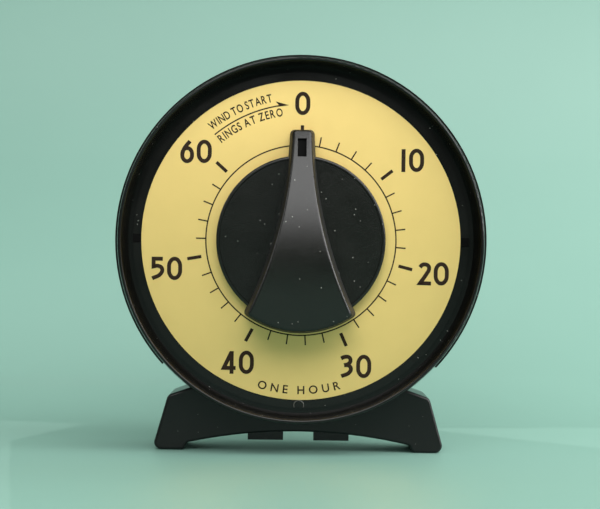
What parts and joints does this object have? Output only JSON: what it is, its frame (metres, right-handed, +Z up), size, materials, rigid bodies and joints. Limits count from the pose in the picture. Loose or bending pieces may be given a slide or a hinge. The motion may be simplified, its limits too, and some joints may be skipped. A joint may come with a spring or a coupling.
{
  "type": "wind-up kitchen timer",
  "caption": "Round wind-up minute timer with a large pointer knob over a gold dial, in a black case on a footed stand, that rings a bell.",
  "frame": {"origin": "middle of the overall box, on the surface that the feet stand on", "axes": "+Z up, the dial faces -Y, +X is to the right of a person who reads the dial"},
  "size_m": [0.106, 0.062, 0.1133],
  "materials": {
    "case_black": "moulded black, semi-gloss",
    "stand_black": "moulded black, semi-gloss",
    "knob_black": "moulded black, fine satin grain",
    "dial_gold": "anodised gold, fine matt grain, printed",
    "brass": "rolled brass sheet",
    "steel": "bright drawn steel",
    "bell_plate": "plated steel"
  },
  "bodies": {
    "case": {"front_shell": "case_black", "dial_plate": "dial_gold", "rear_cover": "case_black", "stand": "stand_black", "cover_screws": "steel", "movement_screws": "steel", "front_plate": "brass", "rear_plate": "brass", "plate_pillars": "steel", "pillar_nuts": "steel", "dial_bush": "brass", "spring_barrel": "steel", "mainspring": "steel", "bell": "bell_plate", "bell_post": "steel", "bell_nut": "steel", "trip_stud": "steel"},
    "knob_set": {"knob": "knob_black", "main_arbor": "steel", "arbor_collar": "steel", "great_wheel": "brass", "ratchet_wheel": "steel", "ring_star": "brass", "click_stud": "steel", "trip_cam": "brass"},
    "click_pawl": {"click": "steel"},
    "second_set": {"second_pinion": "steel", "second_wheel": "brass"},
    "third_set": {"third_pinion": "steel", "third_wheel": "brass"},
    "escape_set": {"escape_pinion": "steel", "escape_wheel": "brass"},
    "verge": {"verge_arbor": "steel", "pallet_lever": "steel", "inertia_bar": "steel"},
    "hammer": {"hammer_arbor": "steel", "hammer_arm": "steel", "hammer_head": "brass", "hammer_tail": "steel", "hammer_spring": "steel"},
    "trip": {"trip_lever": "steel"}
  },
  "joints": [
    {"name": "knob_turn", "type": "hinge", "parent": "case", "child": "knob_set", "pos_m": [0, -0.011, 0.0603], "axis": [0, 1, 0], "range_deg": [0, 312]},
    {"name": "click_lift", "type": "hinge", "parent": "knob_set", "child": "click_pawl", "pos_m": [-0.01175, -0.011, 0.05602], "axis": [0, -1, 0], "range_deg": [0, 6], "stiffness_Nm_per_rad": 0.0002},
    {"name": "second_wheel_turn", "type": "hinge", "parent": "case", "child": "second_set", "pos_m": [-0.01754, -0.011, 0.07043], "axis": [0, 1, 0], "range_deg": [-2500, 4]},
    {"name": "third_wheel_turn", "type": "hinge", "parent": "case", "child": "third_set", "pos_m": [-0.00513, -0.011, 0.08084], "axis": [0, 1, 0], "range_deg": [-32, 20000]},
    {"name": "escape_wheel_turn", "type": "hinge", "parent": "case", "child": "escape_set", "pos_m": [0.00748, -0.011, 0.07862], "axis": [0, 1, 0], "range_deg": [-139800, 224]},
    {"name": "verge_rock", "type": "hinge", "parent": "case", "child": "verge", "pos_m": [0.01784, -0.011, 0.07771], "axis": [0, -1, 0], "range_deg": [-3, 3]},
    {"name": "hammer_swing", "type": "hinge", "parent": "case", "child": "hammer", "pos_m": [0.024, -0.011, 0.0633], "axis": [0, -1, 0], "range_deg": [0, 12], "stiffness_Nm_per_rad": 0.0005},
    {"name": "trip_drop", "type": "hinge", "parent": "case", "child": "trip", "pos_m": [0.02, -0.011, 0.0518], "axis": [0, -1, 0], "range_deg": [-4, 0]}
  ],
  "couplings": [
    {"joint": "second_wheel_turn", "follows": "knob_turn", "ratio": -8},
    {"joint": "third_wheel_turn", "follows": "knob_turn", "ratio": 64},
    {"joint": "escape_wheel_turn", "follows": "knob_turn", "ratio": -448}
  ]
}
